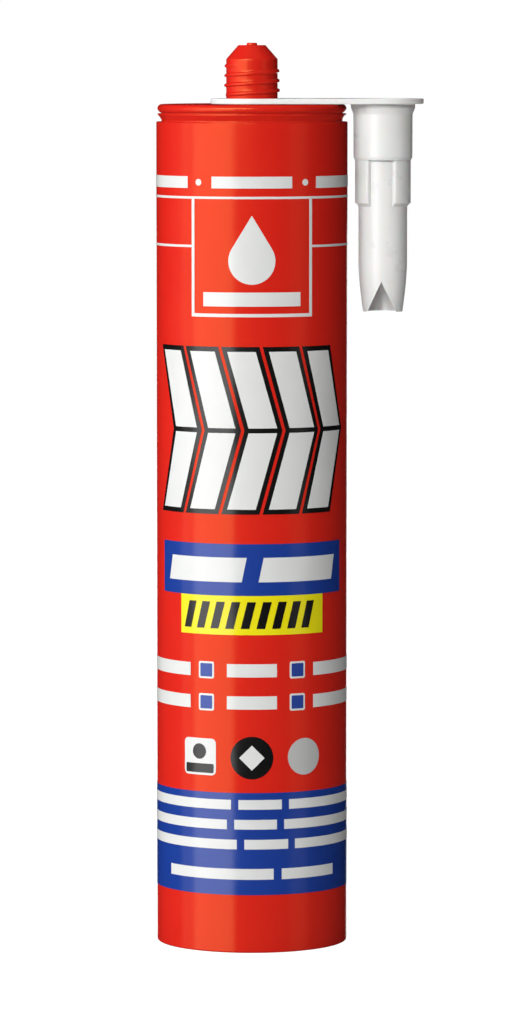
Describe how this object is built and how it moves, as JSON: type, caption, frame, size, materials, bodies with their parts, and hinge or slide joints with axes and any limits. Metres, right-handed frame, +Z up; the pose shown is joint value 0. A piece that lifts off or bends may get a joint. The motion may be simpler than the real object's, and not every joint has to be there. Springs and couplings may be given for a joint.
{
  "type": "caulk tube",
  "caption": "Cylindrical sealant cartridge with a ridged head, a closed threaded nipple, a sliding piston in its open rear end and a notched nozzle carried beside it on a strap.",
  "frame": {"origin": "centre of the rear rim, on the barrel's axis", "axes": "+Z up along the barrel towards the nipple, +X towards the nozzle, -Y the front of the print"},
  "size_m": [0.0693, 0.0497, 0.2336],
  "materials": {
    "red_plastic": "glossy moulded red polyethylene",
    "white_sealant": "smooth white paste",
    "natural_plastic": "natural milky polyethylene",
    "white_plastic": "satin white polyethylene",
    "white_ink": "glossy white ink",
    "blue_ink": "glossy blue ink",
    "yellow_ink": "glossy yellow ink",
    "black_ink": "glossy black ink",
    "grey_ink": "glossy pale grey ink"
  },
  "bodies": {
    "cartridge_body": {"cartridge": "red_plastic", "sealant": "white_sealant", "white_print": "white_ink", "blue_print": "blue_ink", "yellow_print": "yellow_ink", "black_print": "black_ink", "grey_print": "grey_ink"},
    "piston_body": {"piston": "natural_plastic"},
    "nozzle_body": {"nozzle": "white_plastic"}
  },
  "joints": [
    {"name": "piston_slide", "type": "slide", "parent": "cartridge_body", "child": "piston_body", "axis": [0, 0, 1], "range_m": [0, 0.178], "deforming": ["sealant"]},
    {"name": "nozzle_swivel", "type": "hinge", "parent": "cartridge_body", "child": "nozzle_body", "pos_m": [0, 0, 0.2186], "axis": [0, 0, 1], "continuous": true}
  ]
}
